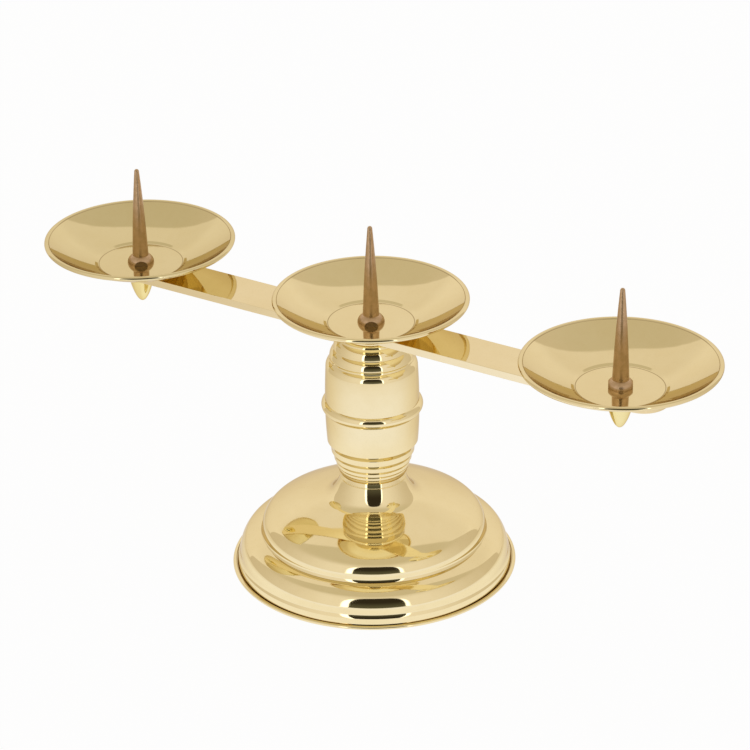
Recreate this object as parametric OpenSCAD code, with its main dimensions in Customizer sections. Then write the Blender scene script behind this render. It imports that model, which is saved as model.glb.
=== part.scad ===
// Three-light pricket candelabra in polished brass.
// A spun foot and a two-piece barrel column are clamped on one threaded rod.
// The rod also carries a flat crossbar with three drip pans and three prickets.
// Origin: on the table, under the middle of the column. The crossbar runs along X.

/* [Foot] */
// Radius of the foot at its outer edge
foot_r = 73.9; // [68:0.1:80]
// Thickness of the spun sheet of the foot
foot_wall = 1.5; // [1:0.1:2]
// Thickness of the flat lip that rests on the table
foot_lip_t = 1.7; // [1.2:0.1:2.4]
// Width of the flat lip that shows outside the step
foot_lip_w = 2.2; // [1.9:0.1:3]
// Width of the slot between the lip's folded edge and the step
lip_slot_w = 0.6; // [0.4:0.1:0.7]
// Depth of that slot
lip_slot_d = 0.8; // [0.5:0.1:1]
// Height of the low step above the lip
step_h = 3.1; // [2.4:0.1:4]
// How far the low step leans in towards its top edge
step_lean = 0.7; // [0.4:0.1:1.2]
// Radius of the hollow above the low step
low_cove_r = 5.3; // [4.4:0.1:6.4]
// Radius of the large roll
roll_r = 13; // [12:0.1:14]
// Radius of the bend from the roll's side to its sloping top
crest_r = 3.9; // [3.2:0.1:4.6]
// Radius across the roll's long, sloping top
shelf_r = 20.6; // [18:0.1:23]
// Radius of the hollow between the roll and the dome
high_cove_r = 3.8; // [3.2:0.05:4.5]
// Radius of the dome's shoulder
shoulder_r = 9.6; // [8.4:0.1:11]
// Radius of the bend between the shoulder and the dome's face
dome_bend_r = 70; // [60:1:80]
// Radius across the dome's long, nearly straight face
dome_face_r = 600; // [520:10:700]
// Radius where the dome runs up into the neck
neck_root_r = 9.5; // [8:0.1:11]
// Radius of the neck's long hollow
neck_flare_r = 28.1; // [25:0.1:31]
// Thickness of the plate that closes the neck
neck_plate_t = 3; // [2:0.1:4]
// Depth of the fine line round the neck
neck_line_d = 0.3; // [0.2:0.05:0.4]
// Distance of that line below the top of the neck
neck_line_drop = 2.4; // [1.8:0.1:3]

/* [Column] */
// Thickness of the column's turned wall
column_wall = 2.4; // [1.8:0.1:3.2]
// Thickness of the plates that close the cup and the cap
column_plate_t = 3; // [2.2:0.1:4]
// Largest radius of the barrel
barrel_r = 24.2; // [23:0.1:26]
// Height of the lower barrel, from the top groove of the cup to the seam
barrel_low_h = 17.4; // [15:0.1:20]
// Height of the upper barrel, from the seam to the shoulder
barrel_high_h = 25; // [22:0.1:28]
// Radius of the lower barrel's long curve
barrel_low_curve = 260; // [220:5:320]
// Radius of the upper barrel's long curve
barrel_high_curve = 400; // [340:5:460]
// Radius of the rounded bead over the seam
bead_r = 3.2; // [2.8:0.1:3.6]
// How far the centre of that round lies inside the barrel's surface
bead_in = 1.3; // [0.9:0.1:1.7]
// Depth of the seam groove between cup and cap
seam_groove = 0.35; // [0.2:0.05:0.5]
// Height of the first ring under the barrel
ring_pitch = 5.9; // [5:0.1:6.6]
// Each ring's height as a share of the one above
ring_ratio = 0.73; // [0.68:0.01:0.78]
// Straight face of a ring as a share of its height
ring_face = 0.5; // [0.4:0.05:0.6]
// Inward slope of the rings, radius lost for each millimetre down
ring_slope = 0.33; // [0.3:0.01:0.38]
// Number of rings under the barrel
ring_count = 5; // [3:1:6]
// Height of the plain foot under the last ring
cup_foot_h = 1.4; // [1:0.1:2.4]
// Radius of the barrel's upper shoulder
barrel_shoulder_r = 4.7; // [4:0.1:5.5]
// Radius of the narrow band above the shoulder
narrow_band_r = 4; // [3.4:0.1:4.8]
// Radius of the lower of the two broad bands
low_band_r = 6; // [5.4:0.1:6.8]
// Radius of the upper of the two broad bands
high_band_r = 7.4; // [6.6:0.1:8.2]
// Radius of the small bead at the top
top_bead_r = 2; // [1.7:0.1:2.4]
// Height of the plain neck under the crossbar
top_neck_h = 0.7; // [0.4:0.05:1.5]
// Height of the groove between two bands
band_gap = 0.6; // [0.4:0.05:0.8]
// Length of the cap's spigot inside the cup
spigot_h = 3; // [2:0.1:5]
// Clearance round the spigot
spigot_clear = 0.15; // [0.05:0.05:0.3]

/* [Crossbar] */
// Width of the flat bar
bar_w = 25.8; // [22:0.1:30]
// Thickness of the flat bar
bar_t = 4; // [3:0.1:6]
// Distance from one pricket to the next
pitch = 142.7; // [125:0.1:160]
// Bar beyond the outer pricket's axis, to the centre of its round end
bar_over = 12.4; // [8:0.1:18]

/* [Drip pans] */
// Radius of a pan at its outer edge
pan_r = 50; // [44:0.1:56]
// Height of a pan
pan_h = 15.2; // [13.5:0.1:17]
// Thickness of the pan's sheet
pan_t = 1; // [0.8:0.1:1.4]
// Radius of the flat well
well_r = 22.2; // [19:0.1:25]
// Depth of the well below the start of the flare
well_d = 0.7; // [0.5:0.1:1.2]
// Width of the well's sloping wall
well_wall_w = 0.75; // [0.6:0.05:1.4]
// Radius of the rolled bead at the rim
rim_bead_r = 1.3; // [1:0.05:1.6]
// Rise of the flare's curve above a straight line
flare_sag = 1.2; // [0.4:0.1:2]

/* [Prickets] */
// Height of a pricket above the pan's floor
spike_h = 53; // [45:0.5:62]
// Radius of the pricket where it leaves its collar
spike_r = 4.2; // [3.9:0.1:4.8]
// Radius of the pricket's blunt tip
spike_tip_r = 1.25; // [0.9:0.05:1.8]
// Swelling of the pricket's taper
spike_swell = 0.3; // [0.1:0.05:0.5]
// Radius of the round collar
collar_r = 6.95; // [6.5:0.05:7.8]
// Radius of the collar's rounded side
collar_round_r = 4.7; // [4.2:0.1:5.2]
// Width across the two spanner flats
collar_flats = 12; // [11.4:0.1:13]
// Direction of the left, centre and right pricket's flats
flat_angles = [-53, -57, 28]; // [-180:1:180]

/* [Fixings] */
// Radius of the threaded rod and studs
thread_r = 3; // [2:0.1:3]
// Radial clearance of a thread in its tapped hole
thread_clear = 0.05; // [0.03:0.01:0.1]
// Radial clearance of the rod in the crossbar it carries
swivel_clear = 0.06; // [0.03:0.01:0.1]
// Radial clearance of the rod and studs in plain holes
hole_clear = 0.25; // [0.15:0.05:0.5]
// Depth of the tapped hole in a pricket
spike_tap_d = 9; // [6:0.5:12]
// Depth of the tapped hole in a finial nut
finial_tap_d = 9; // [6:0.5:10]
// Play left at the end of a tapped hole
tap_play = 0.6; // [0.3:0.1:1]
// Radius of the finial nuts
finial_r = 7; // [6.5:0.1:8]
// Height of the finial nuts
finial_h = 17.1; // [15:0.1:20]
// Height of the finial nut's plain band
finial_band_h = 2.3; // [1.5:0.1:3]
// Gap left between the spreader washer and the wall round it
washer_gap = 2.6; // [1:0.1:4]
// Thickness of the spreader washer
washer_t = 1.5; // [1:0.1:2.5]
// Width across flats of the hexagon nut
nut_flats = 10; // [9:0.5:12]
// Thickness of the hexagon nut
nut_h = 5; // [4:0.1:6]
// Rod that shows below the nut
rod_below_nut = 3; // [1.5:0.1:6]

/* [Hidden] */
$fn = 96;

brass = "#e6cf9c";
bronze = "#a07848";
steel = "#b9bcc0";

// Unit vector of a surface normal, in degrees above the horizontal
function normal(a) = [cos(a), sin(a)];

// Points of a convex profile arc, from normal angle a0 to a1, about centre c
function bulge(c, r, a0, a1, n) =
    [for (i = [0:n]) c + r * normal(a0 + (a1 - a0) * i / n)];

// Points of a hollow profile arc, from normal angle a0 to a1, about centre c
function hollow(c, r, a0, a1, n) =
    [for (i = [0:n]) c - r * normal(a0 + (a1 - a0) * i / n)];

// Points of the shallow arc from p to q that stands proud of their chord by sag
function bow(p, q, sag, n) =
    let (d = q - p, side = [d[1], -d[0]] / norm(d))
    [for (i = [0:n]) let (t = i / n) p + d * t + side * 4 * sag * t * (1 - t)];

// The foot's outline is a chain of arcs, from the lip up to the neck.
// Normal angles where one arc hands over to the next
step_a = 36;
wall_a = 3;
crest_a = 40;
shelf_a = 60;
crease_a = 81;
dome_a = 36;
brow_a = 62;
bend_a = 75.5;
slope_a = 76.6;
waist_a = 12;

step_foot = [foot_r - foot_lip_w, foot_lip_t];
step_edge = step_foot + [-step_lean, step_h];
low_cove_c = step_edge + low_cove_r * normal(step_a);
roll_c = low_cove_c - (low_cove_r + roll_r) * normal(wall_a);
crest_c = roll_c + (roll_r - crest_r) * normal(crest_a);
shelf_c = crest_c + (crest_r - shelf_r) * normal(shelf_a);
high_cove_c = shelf_c + shelf_r * normal(crease_a) + high_cove_r * normal(dome_a);
shoulder_c = high_cove_c - (high_cove_r + shoulder_r) * normal(0);
bend_c = shoulder_c + (shoulder_r - dome_bend_r) * normal(brow_a);
face_c = bend_c + (dome_bend_r - dome_face_r) * normal(bend_a);
root_c = face_c + (dome_face_r + neck_root_r) * normal(slope_a);
flare_c = root_c + (neck_flare_r - neck_root_r) * normal(step_a);
neck_top = flare_c - neck_flare_r * normal(waist_a);
foot_h = neck_top[1];
plate_z = foot_h - neck_plate_t;
plate_a = asin((flare_c[1] - plate_z) / (neck_flare_r + foot_wall));
washer_r = flare_c[0] - washer_gap
    - sqrt(pow(neck_flare_r + foot_wall, 2) - pow(flare_c[1] - plate_z, 2));
neck_line_a = asin((flare_c[1] - foot_h + neck_line_drop) / neck_flare_r);

// The cup's rings: groove heights fall by a steady ratio
function ring_drop(k) = ring_pitch * (1 - pow(ring_ratio, k)) / (1 - ring_ratio);
cup_z = foot_h;
ring_top_z = cup_z + cup_foot_h + ring_drop(ring_count);
seam_z = ring_top_z + barrel_low_h;
bead_half = sqrt(pow(bead_r, 2) - pow(bead_in, 2));
barrel_mid_z = seam_z + bead_half;
function low_barrel(z) =
    barrel_r - barrel_low_curve + sqrt(pow(barrel_low_curve, 2) - pow(z - barrel_mid_z, 2));
function ring_z(k) = ring_top_z - ring_drop(k);
function ring_r(k) = low_barrel(ring_top_z) - ring_slope * ring_drop(k);
ring_face_a = -4;
ring_hollow_a = [-20, -32];

// The cap's bands: a chain of arcs from the barrel up to the crossbar
bead_a = acos(bead_in / bead_r);
cap_shoulder_z = seam_z + barrel_high_h;
cap_shoulder_a = asin((cap_shoulder_z - barrel_mid_z) / barrel_high_curve);
cap_shoulder_c = [barrel_r - barrel_high_curve, barrel_mid_z]
    + (barrel_high_curve - barrel_shoulder_r) * normal(cap_shoulder_a);
cap_brow_a = 52;
band_steps = [-0.1, 0, 0.6];
groove_in = 0.3;
narrow_a = [4, 16];
low_a = [1, 49];
high_a = [2, 48];
top_a = [5, 75];
narrow_p = cap_shoulder_c + barrel_shoulder_r * normal(cap_brow_a) + [0, band_gap];
narrow_c = narrow_p - narrow_band_r * normal(narrow_a[0]);
low_p = narrow_c + narrow_band_r * normal(narrow_a[1]) + [band_steps[0], band_gap];
low_c = low_p - low_band_r * normal(low_a[0]);
high_p = low_c + low_band_r * normal(low_a[1]) + [band_steps[1], band_gap];
high_c = high_p - high_band_r * normal(high_a[0]);
top_p = high_c + high_band_r * normal(high_a[1]) + [band_steps[2], band_gap];
top_c = top_p - top_bead_r * normal(top_a[0]);
cap_neck = top_c + top_bead_r * normal(top_a[1]);
column_top = cap_neck[1] + top_neck_h;

// Heights above the column
bar_top = column_top + bar_t;
pan_floor = bar_top + pan_t;
finial_k = finial_r / sqrt(finial_h - finial_band_h);
rod_top = pan_floor + spike_tap_d - tap_play;
nut_z = plate_z - washer_t - nut_h;
bar_end = pitch + bar_over;

// A body of revolution from a list of profile points
module turned(points) {
    rotate_extrude() polygon(points);
}

// A plain round hole down the Z axis
module bore(r, z0, z1) {
    translate([0, 0, z0]) cylinder(r = r, h = z1 - z0);
}

// Spun foot: lip, step, large roll, dome and neck, with one even wall
module foot() {
    w = foot_wall;
    edge_r = foot_lip_t / 2;
    outside = concat(
        bulge([foot_r - edge_r, edge_r], edge_r, -90, 90, 10),
        [for (p = [[1, 0], [1, -1], [0, -1]])
            step_foot + [p[0] * lip_slot_w, p[1] * lip_slot_d]],
        hollow(low_cove_c, low_cove_r, step_a, wall_a, 5),
        bulge(roll_c, roll_r, wall_a, crest_a, 12),
        bulge(crest_c, crest_r, crest_a, shelf_a, 5),
        bulge(shelf_c, shelf_r, shelf_a, crease_a, 6),
        hollow(high_cove_c, high_cove_r, dome_a, 0, 6),
        bulge(shoulder_c, shoulder_r, 0, brow_a, 12),
        bulge(bend_c, dome_bend_r, brow_a, bend_a, 8),
        bulge(face_c, dome_face_r, bend_a, slope_a, 3),
        hollow(root_c, neck_root_r, slope_a, step_a, 7),
        hollow(flare_c, neck_flare_r, step_a, waist_a, 8));
    inside = concat(
        [[thread_r + hole_clear, foot_h], [thread_r + hole_clear, plate_z]],
        hollow(flare_c, neck_flare_r + w, plate_a, step_a, 8),
        hollow(root_c, neck_root_r + w, step_a, slope_a, 7),
        bulge(face_c, dome_face_r - w, slope_a, bend_a, 3),
        bulge(bend_c, dome_bend_r - w, bend_a, brow_a, 8),
        bulge(shoulder_c, shoulder_r - w, brow_a, 0, 12),
        hollow(high_cove_c, high_cove_r + w, 0, dome_a, 6),
        bulge(shelf_c, shelf_r - w, crease_a, shelf_a, 6),
        bulge(crest_c, crest_r - w, shelf_a, crest_a, 5),
        bulge(roll_c, roll_r - w, crest_a, wall_a, 12),
        hollow(low_cove_c, low_cove_r + w, wall_a, step_a, 5));
    last = inside[len(inside) - 1];
    color(brass) difference() {
        turned(concat(outside, inside, [[last[0], 0]]));
        rotate_extrude()
            translate(flare_c - neck_flare_r * normal(neck_line_a)) circle(r = neck_line_d);
    }
}

// Spreader washer that bears on the underside of the neck plate
module foot_washer() {
    color(steel) difference() {
        translate([0, 0, plate_z - washer_t]) cylinder(r = washer_r, h = washer_t);
        bore(thread_r + hole_clear, plate_z - washer_t - 1, plate_z + 1);
    }
}

// Hexagon nut that draws the whole column together
module foot_nut() {
    color(steel) difference() {
        translate([0, 0, nut_z]) cylinder(r = nut_flats / 2 / cos(30), h = nut_h, $fn = 6);
        bore(thread_r + thread_clear, nut_z - 1, nut_z + nut_h + 1);
    }
}

// One ring of the cup: a straight face, and a shallow hollow up to the ledge above
function ring(k) =
    let (base = [ring_r(k + 1), ring_z(k + 1)], h = ring_z(k) - ring_z(k + 1),
        top = base + ring_face * h * [-tan(ring_face_a), 1],
        r = (1 - ring_face) * h / (sin(ring_hollow_a[0]) - sin(ring_hollow_a[1])))
    concat([base], hollow(top + r * normal(ring_hollow_a[0]), r,
        ring_hollow_a[0], ring_hollow_a[1], 4));

// Lower half of the barrel: a turned cup with rings that step in to the foot
module stem_cup() {
    w = column_wall;
    foot_edge = ring_r(ring_count) - 1.1;
    side = [for (i = [0:8]) let (z = ring_top_z + (seam_z - seam_groove - ring_top_z) * i / 8)
        [low_barrel(z), z]];
    outside = concat(
        [[foot_edge, cup_z], [foot_edge + 0.5, cup_z + 0.3]],
        [for (k = [ring_count - 1:-1:0], p = ring(k)) p],
        side,
        [[barrel_r - seam_groove, seam_z]]);
    inside = [
        [barrel_r - w, seam_z],
        [low_barrel(ring_top_z) - w, ring_top_z],
        [ring_r(ring_count) - w - 0.6, cup_z + column_plate_t],
        [thread_r + hole_clear, cup_z + column_plate_t],
        [thread_r + hole_clear, cup_z]];
    color(brass) turned(concat(outside, inside));
}

// Upper half of the barrel: bead over the seam, long barrel and stepped bands
module stem_cap() {
    w = column_wall;
    spigot_r = barrel_r - w - spigot_clear;
    outside = concat(
        [[barrel_r - seam_groove, seam_z]],
        bulge([barrel_r - bead_in, barrel_mid_z], bead_r, -bead_a, bead_a, 16),
        bulge([barrel_r - barrel_high_curve, barrel_mid_z], barrel_high_curve,
            asin((bead_half + 0.1) / barrel_high_curve), cap_shoulder_a, 8),
        bulge(cap_shoulder_c, barrel_shoulder_r, cap_shoulder_a, cap_brow_a, 8),
        [narrow_p + [-groove_in, -band_gap / 2]],
        bulge(narrow_c, narrow_band_r, narrow_a[0], narrow_a[1], 4),
        [low_p + [-groove_in, -band_gap / 2]],
        bulge(low_c, low_band_r, low_a[0], low_a[1], 7),
        [high_p + [-groove_in, -band_gap / 2]],
        bulge(high_c, high_band_r, high_a[0], high_a[1], 7),
        [top_p + [-band_steps[2] - groove_in, -band_gap / 2]],
        bulge(top_c, top_bead_r, top_a[0], top_a[1], 8),
        [[cap_neck[0], column_top]]);
    inside = [
        [thread_r + hole_clear, column_top],
        [thread_r + hole_clear, column_top - column_plate_t],
        [cap_neck[0] - w, column_top - column_plate_t],
        [narrow_p[0] - w - 1, narrow_p[1]],
        [barrel_r - w - 1.6, cap_shoulder_z - 3],
        [spigot_r - 1.4, seam_z - spigot_h],
        [spigot_r, seam_z - spigot_h],
        [spigot_r, seam_z]];
    color(brass) turned(concat(outside, inside));
}

// Threaded rod from the nut in the foot up into the centre pricket
module tie_rod() {
    z0 = nut_z - rod_below_nut;
    color(steel) bore(thread_r, z0, rod_top);
}

// Flat bar with round ends; it turns on the rod when the centre pricket is slack
module crossbar() {
    color(brass) difference() {
        translate([0, 0, column_top]) linear_extrude(bar_t) union() {
            translate([-bar_end, -bar_w / 2]) square([2 * bar_end, bar_w]);
            for (s = [-1, 1]) translate([s * bar_end, 0]) circle(d = bar_w);
        }
        bore(thread_r + swivel_clear, column_top - 1, bar_top + 1);
        for (s = [-1, 1]) translate([s * pitch, 0, 0])
            bore(thread_r + hole_clear, column_top - 1, bar_top + 1);
    }
}

// Drip pan: flat well, sloping flare and a bead rolled at the rim
module pan(x) {
    flare_in = [well_r + well_wall_w, pan_t + well_d];
    bead_c = [pan_r - rim_bead_r, pan_h - rim_bead_r];
    flare_out = bead_c + rim_bead_r * normal(150);
    under_out = flare_out + pan_t * normal(-60);
    under_in = flare_in + pan_t * normal(-75);
    foot_in = [well_r + 0.4 * pan_t, 0];
    color(brass) translate([x, 0, bar_top]) turned(concat(
        [[thread_r + hole_clear, 0], foot_in],
        bow(under_in, under_out, flare_sag, 12),
        bulge(bead_c, rim_bead_r, -110, 150, 16),
        bow(flare_out, flare_in, -flare_sag, 12),
        [[well_r, pan_t], [thread_r + hole_clear, pan_t]]));
}

module pan_left() { pan(-pitch); }
module pan_centre() { pan(0); }
module pan_right() { pan(pitch); }

// Pricket: turned spike on a rounded collar with two spanner flats, tapped below
module spike(x, flat_angle) {
    collar_c = [collar_r - collar_round_r, 0];
    join_a = acos((spike_r - collar_c[0]) / collar_round_r);
    join_z = collar_round_r * sin(join_a);
    tip_z = spike_h - spike_tip_r;
    color(bronze) translate([x, 0, pan_floor]) difference() {
        turned(concat(
            [[0, 0]],
            bulge(collar_c, collar_round_r, 0, join_a, 8),
            bow([spike_r, join_z], [spike_tip_r, tip_z], spike_swell, 10),
            bulge([0, tip_z], spike_tip_r, 10, 90, 6)));
        bore(thread_r + thread_clear, -1, spike_tap_d);
        rotate([0, 0, flat_angle]) for (s = [-1, 1])
            translate([s * (collar_flats / 2 + collar_r), 0, 0])
                cube([2 * collar_r, 4 * collar_r, 3 * collar_round_r], center = true);
    }
}

module spike_left() { spike(-pitch, flat_angles[0]); }
module spike_centre() { spike(0, flat_angles[1]); }
module spike_right() { spike(pitch, flat_angles[2]); }

// Threaded stud that joins an outer pricket to the finial nut under the bar
module stud(x) {
    color(steel) translate([x, 0, 0])
        bore(thread_r, column_top - finial_tap_d + tap_play, rod_top);
}

module stud_left() { stud(-pitch); }
module stud_right() { stud(pitch); }

// Finial nut: plain band, then a paraboloid down to a rounded tip
module finial(x) {
    drop = finial_h - finial_band_h;
    color(brass) translate([x, 0, column_top - finial_h]) difference() {
        turned(concat(
            [for (i = [0:16]) let (s = i / 16) [finial_k * sqrt(drop) * s, drop * s * s]],
            [[finial_r, finial_h], [0, finial_h]]));
        bore(thread_r + thread_clear, finial_h - finial_tap_d, finial_h + 1);
    }
}

module finial_left() { finial(-pitch); }
module finial_right() { finial(pitch); }

foot();
foot_washer();
foot_nut();
stem_cup();
stem_cap();
tie_rod();
crossbar();
pan_left();
pan_centre();
pan_right();
spike_left();
spike_centre();
spike_right();
stud_left();
stud_right();
finial_left();
finial_right();
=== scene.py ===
import math

import bmesh
import bpy
from mathutils import Matrix, Vector


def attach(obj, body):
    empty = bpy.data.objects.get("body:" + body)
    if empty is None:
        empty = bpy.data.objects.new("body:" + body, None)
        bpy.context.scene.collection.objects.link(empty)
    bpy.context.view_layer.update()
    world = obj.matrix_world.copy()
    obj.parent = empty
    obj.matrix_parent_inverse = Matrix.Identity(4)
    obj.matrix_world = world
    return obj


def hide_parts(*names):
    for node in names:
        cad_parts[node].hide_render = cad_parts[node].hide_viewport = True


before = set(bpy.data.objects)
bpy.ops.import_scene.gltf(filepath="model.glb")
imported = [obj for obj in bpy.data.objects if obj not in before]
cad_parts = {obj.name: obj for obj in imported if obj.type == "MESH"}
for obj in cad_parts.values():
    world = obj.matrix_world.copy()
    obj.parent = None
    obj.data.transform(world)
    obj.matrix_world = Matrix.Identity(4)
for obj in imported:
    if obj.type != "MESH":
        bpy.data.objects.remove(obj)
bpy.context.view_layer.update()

# ---- Foot ----
# One shell spun from brass sheet: flat lip, low sharp step, large roll, hollow, domed top
# and a flared neck with a fine line turned round it. It is open underneath, and the
# column is bolted down on the plate that closes its neck.


def normal(angle):
    """Unit vector of a surface normal, by its angle above the horizontal."""
    return Vector((math.cos(math.radians(angle)), math.sin(math.radians(angle))))


def arc(centre, radius, first, last, step=0.4):
    """Points in millimetres along an arc, by the angles of its normals.

    A hollow has a negative radius: its normals point at its centre.
    """
    turn = abs(last - first)
    length = math.radians(turn) * abs(radius)
    count = max(3, math.ceil(turn / 4), math.ceil(length / step))
    return [
        centre + radius * normal(first + (last - first) * i / count)
        for i in range(count + 1)
    ]


def bowed(start, end, rise, step=0.4):
    """Points from start to end that stand proud of the straight line by rise."""
    along = end - start
    side = Vector((along.y, -along.x)).normalized()
    count = max(4, math.ceil(along.length / step))
    return [
        start + along * t + side * 4 * rise * t * (1 - t)
        for t in (i / count for i in range(count + 1))
    ]


def spun(profile, at=0.0, steps=256):
    """A bmesh of a closed profile of (radius, height) points, spun about its axis."""
    shape = bmesh.new()
    rim = [shape.verts.new(((at + p.x) / 1000, 0, p.y / 1000)) for p in profile]
    on_axis = profile[0].x < 1e-6 and profile[-1].x < 1e-6
    for i in range(1 if on_axis else 0, len(rim)):
        shape.edges.new((rim[i - 1], rim[i]))
    bmesh.ops.spin(
        shape,
        geom=rim + list(shape.edges),
        cent=(at / 1000, 0, 0),
        axis=(0, 0, 1),
        angle=2 * math.pi,
        steps=steps,
        use_merge=True,
    )
    bmesh.ops.remove_doubles(shape, verts=shape.verts, dist=2e-6)
    bmesh.ops.recalc_face_normals(shape, faces=shape.faces)
    return shape


def finished(name, shape, material, body, node, crease=12):
    """An object of a finished bmesh, in place of its CAD node."""
    mesh = bpy.data.meshes.new(name)
    shape.to_mesh(mesh)
    shape.free()
    mesh.shade_smooth()
    mesh.set_sharp_from_angle(angle=math.radians(crease))
    mesh.materials.append(material)
    piece = bpy.data.objects.new(name, mesh)
    bpy.context.scene.collection.objects.link(piece)
    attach(piece, body)
    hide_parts(node)
    return piece


class Value:
    """One socket of a finish in the making. Arithmetic on it adds the Math nodes."""

    def __init__(self, finish, socket):
        self.finish = finish
        self.socket = socket

    def __add__(self, other):
        return self.finish.math("ADD", self, other)

    def __radd__(self, other):
        return self.finish.math("ADD", other, self)

    def __sub__(self, other):
        return self.finish.math("SUBTRACT", self, other)

    def __rsub__(self, other):
        return self.finish.math("SUBTRACT", other, self)

    def __mul__(self, other):
        return self.finish.math("MULTIPLY", self, other)

    def __rmul__(self, other):
        return self.finish.math("MULTIPLY", other, self)

    def __truediv__(self, other):
        return self.finish.math("DIVIDE", self, other)

    def __pow__(self, other):
        return self.finish.math("POWER", self, other)

    def between(self, low, high):
        """0 at low and 1 at high, with a soft change from one to the other."""
        return self.finish.node(
            "ShaderNodeMapRange",
            {"interpolation_type": "SMOOTHSTEP"},
            {0: self, 1: low, 2: high},
        )


class Finish:
    """A material or a world in the making, with one method that adds a node to it."""

    def __init__(self, owner):
        owner.use_nodes = True
        self.owner = owner
        self.tree = owner.node_tree
        self.tree.nodes.clear()

    def node(self, kind, settings, sockets, output=0):
        made = self.tree.nodes.new(kind)
        for name, value in settings.items():
            setattr(made, name, value)
        for name, value in sockets.items():
            if isinstance(value, Value):
                self.tree.links.new(value.socket, made.inputs[name])
            else:
                made.inputs[name].default_value = value
        return Value(self, made.outputs[output]) if made.outputs else None

    def math(self, operation, *values):
        return self.node(
            "ShaderNodeMath", {"operation": operation}, dict(enumerate(values))
        )

    def mix(self, factor, first, second):
        """The first colour, or the second where the factor is 1."""
        return self.node(
            "ShaderNodeMix", {"data_type": "RGBA"}, {0: factor, 6: first, 7: second}, 2
        )

    def parts(self, vector):
        """The x, y and z of a vector."""
        x = self.node("ShaderNodeSeparateXYZ", {}, {0: vector})
        return [Value(self, s) for s in x.socket.node.outputs]

    def place(self, at=0.0):
        """The spot on the piece, in millimetres from the piece's own axis."""
        spot = self.node("ShaderNodeTexCoord", {}, {}, "Object")
        return self.node(
            "ShaderNodeMapping", {}, {0: spot, 1: (-at, 0, 0), 3: (1000, 1000, 1000)}
        )

    def noise(self, vector, scale, detail=2.0, roughness=0.5):
        return self.node(
            "ShaderNodeTexNoise",
            {},
            {"Vector": vector, "Scale": scale, "Detail": detail, "Roughness": roughness},
        )


def shaded(colour, shade):
    """A socket's colour, with its red, green and blue scaled by a shade."""
    return (*(c * s for c, s in zip(colour, shade)), 1)


def polished_brass(name, at=0.0, straight=False, corners=(), shade=(1, 1, 1)):
    """Buffed brass. The buff's faint lines run round the axis, or straight on a bar.

    It goes dull and olive where it is seen at a grazing angle. Painted shade turns it
    brown in each inner corner it is given, as a radius, a height and a reach.
    """
    brass = Finish(bpy.data.materials.new(name))
    spot = brass.place(at)
    x, y, z = brass.parts(spot)
    out = y if straight else (x * x + y * y) ** 0.5
    across = brass.node("ShaderNodeCombineXYZ", {}, {0: out, 1: z, 2: x * 0.02})
    lines = brass.noise(across, 1.4, 3.0, 0.6)
    swell = brass.noise(across, 0.14, 1.0)
    cloud = brass.noise(spot, 0.035, 3.0, 0.55).between(0.3, 0.7)
    smear = brass.noise(spot, 0.2, 4.0, 0.6).between(0.35, 0.75)
    light = shaded((0.92, 0.82, 0.5), shade)
    dark = shaded((0.89, 0.78, 0.455), shade)
    colour = brass.mix(cloud * 0.65 + smear * 0.35, light, dark)
    # Painted shade: brown darkening round each inner corner, within its reach.
    for radius, height, reach in corners:
        away = ((out - radius) ** 2.0 + (z - height) ** 2.0) ** 0.5
        corner_shade = away.between(reach, 0.3 * reach)
        colour = brass.mix(corner_shade, colour, (0.48, 0.38, 0.2, 1))
    surface = brass.node(
        "ShaderNodeBsdfPrincipled",
        {},
        {
            "Base Color": colour,
            "Metallic": 1.0,
            "Specular Tint": (0.77, 0.71, 0.62, 1),
            "Roughness": 0.04 + 0.025 * smear + 0.02 * lines.between(0.4, 0.7),
            "Normal": brass.node(
                "ShaderNodeBump",
                {},
                {"Strength": 0.1, "Distance": 0.0003, "Height": swell + lines * 0.04},
            ),
        },
    )
    brass.node("ShaderNodeOutputMaterial", {}, {0: surface})
    return brass.owner


foot_radius = 73.9
lip = 0.85
slot_in = 71.7
slot_out = 72.3
slot_floor = 0.9
step_edge = Vector((71, 4.8))
foot_sheet = 1.5
foot_plate = 3
rod_bore = 3.25

# Radius and angles of each arc of the outline, from the step's edge up. Each arc starts
# where the last one ends, and the only corner between two arcs is above the shelf.
foot_arcs = []
end = step_edge
for radius, first, last in (
    (-5.3, 36, 3),  # hollow above the step
    (13, 3, 40),  # roll
    (3.9, 40, 60),  # its crest
    (20.6, 60, 81),  # sloping shelf on the roll
    (-3.8, 36, 0),  # hollow under the dome
    (9.6, 0, 62),  # shoulder of the dome
    (70, 62, 75.5),  # bend of the dome
    (600, 75.5, 76.6),  # face of the dome, nearly straight
    (-9.5, 76.6, 36),  # root of the neck
    (-28.1, 36, 12),  # flare of the neck
):
    centre = end - radius * normal(first)
    foot_arcs.append((centre, radius, first, last))
    end = centre + radius * normal(last)
foot_top = end.y
neck, neck_radius, neck_low, neck_high = foot_arcs.pop()


def neck_angle(height, radius):
    """Angle of the neck's normal at a height, for its outside or its inside."""
    return math.degrees(math.asin((height - neck.y) / radius))


def wall(arcs, depth=0.0, step=0.4):
    """Points along a chain of arcs, at a depth under the outline."""
    points = []
    for centre, radius, first, last in arcs:
        stretch = arc(centre, radius - depth, first, last, step)
        joined = points and (stretch[0] - points[-1]).length < 1e-3
        points += stretch[1:] if joined else stretch
    return points


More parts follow.
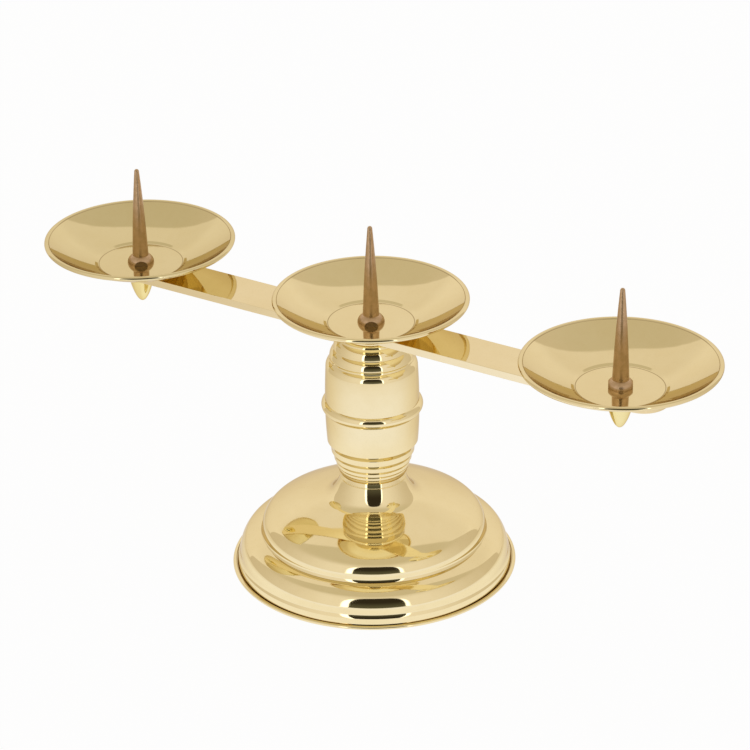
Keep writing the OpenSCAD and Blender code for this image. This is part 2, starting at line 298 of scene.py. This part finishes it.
# The fine line is a round groove in the neck, a little below its top.
line_radius = 0.3
line_half = 0.65
line_angle = neck_angle(foot_top - 2.4, neck_radius)
line_at = neck + neck_radius * normal(line_angle)
line_up = Vector((-normal(line_angle).y, normal(line_angle).x))
neck_line = [
    line_at - line_radius * (line_up * math.cos(t) + normal(line_angle) * math.sin(t))
    for t in (math.pi * i / 16 for i in range(17))
]
plate_under = foot_top - foot_plate
plate_angle = neck_angle(plate_under, neck_radius - foot_sheet)
foot_profile = (
    arc(Vector((foot_radius - lip, lip)), lip, -90, 90, 0.2)
    + [Vector((slot_out, 2 * lip)), Vector((slot_out, slot_floor))]
    + [Vector((slot_in, slot_floor))]
    + wall(foot_arcs + [(neck, neck_radius, neck_low, line_angle + line_half)])
    + neck_line
    + arc(neck, neck_radius, line_angle - line_half, neck_high)
    + [Vector((rod_bore, foot_top)), Vector((rod_bore, plate_under))]
    + wall(
        [(neck, neck_radius, plate_angle, neck_low)]
        + [(centre, r, last, first) for centre, r, first, last in reversed(foot_arcs)],
        foot_sheet,
        1,
    )
)
foot_profile.append(Vector((foot_profile[-1].x, 0)))
# Painted shade in the slot between the lip and the step.
foot_slot_shade = ((slot_in + slot_out) / 2, 1.2, 0.7)
brass_middle = polished_brass("brass_middle", corners=(foot_slot_shade,))
finished(
    "foot_shell",
    spun(foot_profile),
    brass_middle,
    "column",
    "foot",
)

# ---- Rod, washer and nut ----
# A plain zinc-plated threaded rod runs up the whole column. A spreader washer and a
# hexagon nut pull it down from inside the foot, where only the underside shows them.


def zinc_steel(name, at=0.0, thread=0.0):
    """Dull zinc-plated steel. With a thread, its ridges climb a millimetre a turn."""
    steel = Finish(bpy.data.materials.new(name))
    spot = steel.place(at)
    x, y, z = steel.parts(spot)
    speck = steel.noise(spot, 1.2, 3.0).between(0.3, 0.7)
    turn = steel.math("ARCTAN2", y, x) / (2 * math.pi)
    ridge = steel.math("SINE", (z - turn) * (2 * math.pi))
    relief = ridge * thread + speck * 0.05
    surface = steel.node(
        "ShaderNodeBsdfPrincipled",
        {},
        {
            "Base Color": steel.mix(speck, (0.58, 0.59, 0.6, 1), (0.66, 0.67, 0.68, 1)),
            "Metallic": 1.0,
            "Roughness": 0.3 + 0.12 * speck,
            "Normal": steel.node(
                "ShaderNodeBump",
                {},
                {"Strength": 0.7, "Distance": 0.0003, "Height": relief},
            ),
        },
    )
    steel.node("ShaderNodeOutputMaterial", {}, {0: surface})
    return steel.owner


zinc_plain = zinc_steel("zinc_plain")
for node, material in (
    ("foot_washer", zinc_plain),
    ("foot_nut", zinc_plain),
    ("tie_rod", zinc_steel("zinc_thread", thread=1.0)),
):
    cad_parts[node].data.materials.clear()
    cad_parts[node].data.materials.append(material)

# ---- Lower column: the cup ----
# A turned brass cup. Five rings draw in under the barrel, each with a short straight
# face and a hollow above it, and each lower than the one above.

ring_count = 5
top_ring = 5.9
ring_ratio = 0.73
ring_draw = 0.33
ring_lean = 4
ring_low = -20
ring_high = -32
cup_foot = 1.4
cup_height = 17.4
cup_wall = 2.4
cup_floor = 3
barrel_radius = 24.2
low_bow = 260
high_bow = 400
seam_radius = 23.85
socket_radius = 21.8
seam_bead = 3.2
seam_bead_in = 1.3

# Each height is measured down from the top of the uppermost ring.
ring_heights = [
    top_ring * (1 - ring_ratio**k) / (1 - ring_ratio) for k in range(ring_count + 1)
]
rings_top = foot_top + cup_foot + ring_heights[-1]
seam = rings_top + cup_height
barrel_middle = seam + math.sqrt(seam_bead**2 - seam_bead_in**2)
low_barrel = Vector((barrel_radius - low_bow, barrel_middle))
low_angles = [
    math.degrees(math.asin((z - barrel_middle) / low_bow))
    for z in (rings_top, seam - 0.35)
]
rings_radius = low_barrel.x + low_bow * normal(low_angles[0]).x
ring_radii = [rings_radius - ring_draw * height for height in ring_heights]
cup_profile = [
    Vector((ring_radii[-1] - 1.1, foot_top)),
    Vector((ring_radii[-1] - 0.6, foot_top + 0.3)),
]
for k in reversed(range(ring_count)):
    edge = Vector((ring_radii[k + 1], rings_top - ring_heights[k + 1]))
    half = (ring_heights[k + 1] - ring_heights[k]) / 2
    radius = half / (normal(ring_low) - normal(ring_high)).y
    face_top = edge + half * Vector((math.tan(math.radians(ring_lean)), 1))
    middle = face_top + radius * normal(ring_low)
    cup_profile += [edge] + arc(middle, -radius, ring_low, ring_high, 0.15)
cup_profile += arc(low_barrel, low_bow, *low_angles)
cup_profile += [
    Vector((seam_radius, seam)),
    Vector((socket_radius, seam)),
    Vector((rings_radius - cup_wall, rings_top)),
    Vector((ring_radii[-1] - cup_floor, foot_top + cup_floor)),
    Vector((rod_bore, foot_top + cup_floor)),
    Vector((rod_bore, foot_top)),
]
finished(
    "column_cup",
    spun(cup_profile, steps=224),
    brass_middle,
    "column",
    "stem_cup",
)

# ---- Upper column: the cap ----
# The other half of the barrel, turned in brass. A rounded bead covers the seam, and
# above the shoulder a narrow and two broad bands step in to a small bead and a neck.

barrel_height = 25
shoulder_radius = 4.7
shoulder_end = 52
groove = 0.6
cap_neck_height = 0.7
cap_roof = 3
spigot_radius = 21.65
spigot_length = 3

barrel_end = seam + barrel_height
bead_turn = math.degrees(math.acos(seam_bead_in / seam_bead))
start_angle = math.degrees(math.asin((barrel_middle - seam + 0.1) / high_bow))
end_angle = math.degrees(math.asin((barrel_end - barrel_middle) / high_bow))
high_barrel = Vector((barrel_radius - high_bow, barrel_middle))
barrel_shoulder = high_barrel + (high_bow - shoulder_radius) * normal(end_angle)
seam_centre = Vector((barrel_radius - seam_bead_in, barrel_middle))
cap_profile = [Vector((seam_radius, seam))]
cap_profile += arc(seam_centre, seam_bead, -bead_turn, bead_turn, 0.2)
cap_profile += arc(high_barrel, high_bow, start_angle, end_angle)
cap_profile += arc(barrel_shoulder, shoulder_radius, end_angle, shoulder_end)[1:]
start = cap_profile[-1] + Vector((0, groove))
cap_profile.append(start - Vector((groove, groove)) / 2)
# Radius and angles of each band, and how far the groove above it steps out.
for radius, low, high, step_out in (
    (4, 4, 16, -0.1),
    (6, 1, 49, 0),
    (7.4, 2, 48, 0.6),
):
    cap_profile += arc(start - radius * normal(low), radius, low, high)
    start = cap_profile[-1] + Vector((step_out, groove))
    cap_profile.append(start - Vector((max(step_out, 0) + groove / 2, groove / 2)))
cap_profile += arc(start - 2 * normal(5), 2, 5, 75, 0.2)
cap_neck = cap_profile[-1]
column_top = cap_neck.y + cap_neck_height
# Inside, the wall follows the barrel down to the spigot, which sits in the cup's socket.
cap_profile += [
    Vector((cap_neck.x, column_top)),
    Vector((rod_bore, column_top)),
    Vector((rod_bore, column_top - cap_roof)),
    Vector((cap_neck.x - cup_wall, column_top - cap_roof)),
    Vector((18.3, barrel_end + 4)),
    Vector((20.2, barrel_end - 3)),
    Vector((20.25, seam - spigot_length)),
    Vector((spigot_radius, seam - spigot_length)),
    Vector((spigot_radius, seam)),
]
finished(
    "column_cap",
    spun(cap_profile, steps=224),
    brass_middle,
    "column",
    "stem_cap",
)

# ---- Crossbar ----
# One straight length of flat brass bar with half-round ends and lightly broken edges.
# It lies on the column under the middle pan, and turns there when its spike is slack.

pan_spacing = 142.7
bar_width = 25.8
bar_thickness = 4
bar_end = pan_spacing + 12.4
bar_top = column_top + bar_thickness
broken_edge = 0.25

bar = bmesh.new()
bmesh.ops.create_circle(bar, cap_ends=True, segments=128, radius=bar_width / 2000)
for vert in bar.verts:
    side = 0 if abs(vert.co.x) < 1e-6 else math.copysign(1, vert.co.x)
    vert.co.x += side * bar_end / 1000
    vert.co.z = column_top / 1000
raised = bmesh.ops.extrude_face_region(bar, geom=list(bar.faces))
bmesh.ops.translate(
    bar,
    verts=[g for g in raised["geom"] if isinstance(g, bmesh.types.BMVert)],
    vec=(0, 0, bar_thickness / 1000),
)
bmesh.ops.recalc_face_normals(bar, faces=bar.faces)
bmesh.ops.bevel(
    bar,
    geom=[e for e in bar.edges if abs(e.verts[0].co.z - e.verts[1].co.z) < 1e-6],
    offset=broken_edge / 1000,
    segments=3,
    profile=0.5,
    affect="EDGES",
    material=-1,
)
finished(
    "flat_bar",
    bar,
    polished_brass("brass_bar", straight=True, shade=(1, 1, 1.05)),
    "bar",
    "crossbar",
)

# ---- Drip pans ----
# Three pans spun from thin brass sheet: a flat well, a sloping wall, a long flare that
# steepens outwards, and a bead rolled at the rim. The spikes clamp them to the bar.

pan_radius = 50
pan_height = 15.2
pan_sheet = 1
bead_radius = 1.3
well_radius = 22.2

# The flare runs out to the bead, and eases into the well by a soft edge and a hollow.
bead = Vector((pan_radius - bead_radius, pan_height - bead_radius))
flare_in = Vector((well_radius + 0.75, pan_sheet + 0.7))
flare_out = bead + bead_radius * normal(150)
flare_end = 24.35
soft_edge = Vector((24.85, 0.453))
well_hollow = Vector((21.75, pan_sheet + 2))
pan_profile = (
    [Vector((rod_bore, 0)), Vector((well_radius + 0.4, 0))]
    + bowed(flare_in + normal(-75), flare_out + normal(-60), 1.2, 0.6)
    + arc(bead, bead_radius, -110, 150, 0.15)
    + [p for p in bowed(flare_out, flare_in, -1.2, 0.5)[1:] if p.x > flare_end]
    + arc(soft_edge, 1.78, 108, 120, 0.15)
    + arc(well_hollow, -2, 120, 90, 0.15)
    + [Vector((rod_bore, pan_sheet))]
)
pan_profile = [p + Vector((0, bar_top)) for p in pan_profile]
# Painted shade darkens the brass round the well and in the corner under the bead.
pan_corner_shades = ((22, bar_top + 1, 0.35), (47.7, bar_top + 14.5, 0.35))
# The three are coloured a little apart: the left one is the darkest.
pans = (
    ("left", -pan_spacing, "bar", (0.89, 0.89, 0.86)),
    ("centre", 0.0, "column", (0.97, 0.97, 0.97)),
    ("right", pan_spacing, "bar", (0.95, 0.945, 0.94)),
)
for side, at, body, shade in pans:
    finished(
        "drip_pan_" + side,
        spun(pan_profile, at),
        polished_brass("brass_" + side, at, corners=pan_corner_shades, shade=shade),
        body,
        "pan_" + side,
    )

# ---- Spikes ----
# Three turned prickets in browner, satin brass. Each is one piece with a rounded collar
# that has two spanner flats, and is screwed down on the rod or stud through the pan.


def satin_brown_brass(name, at):
    """Turned, unpolished brass coloured brown, with faint tool lines round it."""
    brass = Finish(bpy.data.materials.new(name))
    spot = brass.place(at)
    x, y, z = brass.parts(spot)
    around = brass.node(
        "ShaderNodeCombineXYZ", {}, {0: x * 0.05, 1: y * 0.05, 2: z * 3.0}
    )
    lines = brass.noise(around, 1.0, 2.0, 0.6)
    stain = brass.noise(spot, 0.35, 3.0, 0.6).between(0.3, 0.7)
    colour = brass.mix(stain, (0.62, 0.44, 0.27, 1), (0.52, 0.37, 0.21, 1))
    surface = brass.node(
        "ShaderNodeBsdfPrincipled",
        {},
        {
            "Base Color": colour,
            "Metallic": 1.0,
            "Roughness": 0.29 + 0.04 * stain + 0.03 * lines,
            "Normal": brass.node(
                "ShaderNodeBump",
                {},
                {"Strength": 0.02, "Distance": 0.0001, "Height": lines},
            ),
        },
    )
    brass.node("ShaderNodeOutputMaterial", {}, {0: surface})
    return brass.owner


spike_height = 53
spike_root = 4.2
spike_tip = 1.25
collar_radius = 6.95
collar_round = 4.7
flats_apart = 12
flats_turned = (-53, -57, 28)

collar = Vector((collar_radius - collar_round, 0))
tip = Vector((0, spike_height - spike_tip))
join = math.degrees(math.acos((spike_root - collar.x) / collar_round))
root = Vector((spike_root, collar_round * normal(join).y))
spike_profile = (
    [Vector((0, 0)), Vector((collar_radius, 0))]
    + arc(collar, collar_round, 0, join, 0.15)[1:]
    + bowed(root, tip + Vector((spike_tip, 0)), 0.3, 0.5)[1:]
    + arc(tip, spike_tip, 10, 90, 0.15)
)
spike_profile = [p + Vector((0, bar_top + pan_sheet)) for p in spike_profile]
for (side, at, body, _), turned in zip(pans, flats_turned):
    spike = spun(spike_profile, at, 64)
    for way in (normal(turned), -normal(turned)):
        flat = flats_apart / 2 * way
        cut = bmesh.ops.bisect_plane(
            spike,
            geom=list(spike.verts) + list(spike.edges) + list(spike.faces),
            plane_co=((at + flat.x) / 1000, flat.y / 1000, 0),
            plane_no=(way.x, way.y, 0),
            clear_outer=True,
        )
        edges = [g for g in cut["geom_cut"] if isinstance(g, bmesh.types.BMEdge)]
        bmesh.ops.holes_fill(spike, edges=edges)
    bmesh.ops.recalc_face_normals(spike, faces=spike.faces)
    finished(
        "pricket_" + side,
        spike,
        satin_brown_brass("brown_" + side, at),
        body,
        "spike_" + side,
        crease=24,
    )

# ---- Studs and finial nuts ----
# A short threaded stud joins each outer spike to the pointed brass nut under the bar.
# The nut is painted a little yellower: a painted reflection of the floor under the pans,
# which the pans light yellow. It has a plain band at the top and a small rounded tip.

nut_radius = 7
nut_length = 17.1
nut_band = 2.3

finial_profile = [
    Vector((nut_radius * s, (nut_length - nut_band) * s * s))
    for s in (i / 40 for i in range(41))
]
finial_profile += [Vector((nut_radius, nut_length)), Vector((0, nut_length))]
finial_profile = [p + Vector((0, column_top - nut_length)) for p in finial_profile]
for side, at, body, _ in (pans[0], pans[2]):
    # Painted reflection: the nut's brass is made yellower for the yellow-lit floor it
    # reflects.
    finished(
        "finial_nut_" + side,
        spun(finial_profile, at, 96),
        polished_brass("brass_finial_" + side, at, shade=(1, 1, 0.8)),
        body,
        "finial_" + side,
    )
    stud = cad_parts["stud_" + side]
    stud.data.materials.clear()
    stud.data.materials.append(zinc_steel("zinc_" + side, at, 1.0))

# ---- Floor ----
# A pale studio floor inside a small cloth tent, whose front is open for the camera. The
# cloth's soft sweep all round is painted on the flat floor where metal sees it, so the
# brass shows floor, sweep and cloth.

camera_turn = 32.2
ahead_x = math.sin(math.radians(camera_turn))
ahead_y = -math.cos(math.radians(camera_turn))


def cloth(finish, x, y, z, opened=1.0):
    """The tent's brightness in a direction. Its front points at the camera."""
    ahead = y * ahead_y + x * ahead_x
    aside = y * ahead_x - x * ahead_y
    out = finish.math("ABSOLUTE", aside)

    # The side cloth darkens towards the back, and again overhead.
    around = finish.math("ARCTAN2", out, ahead) * (180 / math.pi)
    side = finish.mix(
        around.between(30, 118), (0.9, 0.82, 0.77, 1), (0.68, 0.585, 0.485, 1)
    )
    top = finish.mix(z.between(0.56, 0.9), side, (0.64, 0.56, 0.45, 1))

    # The back cloth is lit from the front, most of all low down.
    arch = ((out * 0.75) ** 2.0 + (z * 0.25) ** 2.0) ** 0.5
    back = (ahead + arch).between(0.015, -0.015)
    far = finish.mix(
        z.between(0.48, 0.66), (0.91, 0.815, 0.735, 1), (0.84, 0.745, 0.66, 1)
    )
    tone = finish.mix(back, top, far)

    # The brightest cloth hangs round the opening, which shows the dark room.
    front = finish.math("MAXIMUM", ahead, 0.001)
    across = aside / front - 0.035
    climb = z / front
    strip = ((across + 0.03) / 0.53) ** 4.0 + (climb / 0.86) ** 4.0
    tone = finish.mix(strip.between(1.16, 0.8) * opened, tone, (2.0, 1.96, 2.05, 1))
    gap = (across / 0.425) ** 4.0 + (climb / 0.93) ** 4.0
    room = finish.mix(
        climb.between(0, 0.5), (0.095, 0.088, 0.06, 1), (0.031, 0.024, 0.016, 1)
    )
    return finish.mix(gap.between(1.12, 0.88) * opened, tone, room)


floor_shape = bmesh.new()
bmesh.ops.create_grid(floor_shape, x_segments=1, y_segments=1, size=4)
floor_mesh = bpy.data.meshes.new("studio_floor")
floor_shape.to_mesh(floor_mesh)
floor_shape.free()
floor = bpy.data.objects.new("studio_floor", floor_mesh)
bpy.context.scene.collection.objects.link(floor)

# Metal sees the floor with painted light, brighter under the stand and in front of it,
# then the tent's sweep and wall painted on further out.
paper = Finish(bpy.data.materials.new("studio_paper"))
x, y, z = paper.parts(paper.node("ShaderNodeTexCoord", {}, {}, "Object"))
reach = (x * x + y * y) ** 0.5
wall_seen = cloth(paper, x / reach, y / reach, z, reach.between(0.36, 0.62))
facing = (x * ahead_x + y * ahead_y) / reach
# Painted light on the floor: lighter towards the front of the stand, darker and browner
# behind.
lit = paper.mix(facing.between(-0.5, 0.9), (0.88, 0.79, 0.7, 1), (1.0, 0.98, 1.09, 1))
near = paper.mix(reach.between(0.1, 0.17), (1.0, 0.95, 0.955, 1), lit)
sweep = paper.mix(reach.between(0.22, 0.38), near, wall_seen)
camera_ray = paper.node("ShaderNodeLightPath", {}, {}, "Is Camera Ray")
mirror_ray = paper.node("ShaderNodeLightPath", {}, {}, "Is Glossy Ray") + paper.node(
    "ShaderNodeLightPath", {}, {}, "Is Transmission Ray"
)
seen = paper.mix(camera_ray, sweep, (1, 1, 1, 1))
matt = paper.node("ShaderNodeBsdfDiffuse", {}, {0: (0.93, 0.95, 0.98, 1)})
bright = paper.node("ShaderNodeEmission", {}, {0: seen, 1: 1.0})
share = camera_ray * 0.96 + mirror_ray * 0.94
both = paper.node("ShaderNodeMixShader", {}, {0: share, 1: matt, 2: bright})
paper.node("ShaderNodeOutputMaterial", {}, {0: both})
floor_mesh.materials.append(paper.owner)

# ---- Light ----
# The tent itself is the light: lit cloth on every side, the brightest of it round the
# open front. The camera sees plain white behind the stand in its place.

world = bpy.data.worlds.new("studio_tent")
bpy.context.scene.world = world
tent = Finish(world)
towards = tent.parts(tent.node("ShaderNodeTexCoord", {}, {}, "Generated"))
inside = tent.node("ShaderNodeBackground", {}, {0: cloth(tent, *towards), 1: 1.0})
outside = tent.node("ShaderNodeBackground", {}, {0: (1, 1, 1, 1), 1: 1.0})
seen = tent.node("ShaderNodeLightPath", {}, {}, "Is Camera Ray")
sky = tent.node("ShaderNodeMixShader", {}, {0: seen, 1: inside, 2: outside})
tent.node("ShaderNodeOutputWorld", {}, {0: sky})

# ---- Camera ----
# A long lens, a little over one and a half metres away, as in the photograph. It looks
# down at the stand and leans a touch to one side.

lens_place = (0.8134, -1.2888, 0.8770)
lens_turn = 32.197
lens_down = 26.8
lens_lean = -0.784

lens = bpy.data.cameras.new("camera")
lens.lens = 160.67
lens.sensor_width = 36
lens.clip_end = 20
camera = bpy.data.objects.new("camera", lens)
bpy.context.scene.collection.objects.link(camera)
camera.matrix_world = (
    Matrix.Translation(lens_place)
    @ Matrix.Rotation(math.radians(lens_turn), 4, "Z")
    @ Matrix.Rotation(math.radians(90 - lens_down), 4, "X")
    @ Matrix.Rotation(math.radians(lens_lean), 4, "Z")
)
scene = bpy.context.scene
scene.camera = camera
scene.view_settings.view_transform = "Standard"
# Light goes back and forth many times between the pans and the bar before it gets out.
scene.cycles.glossy_bounces = 12
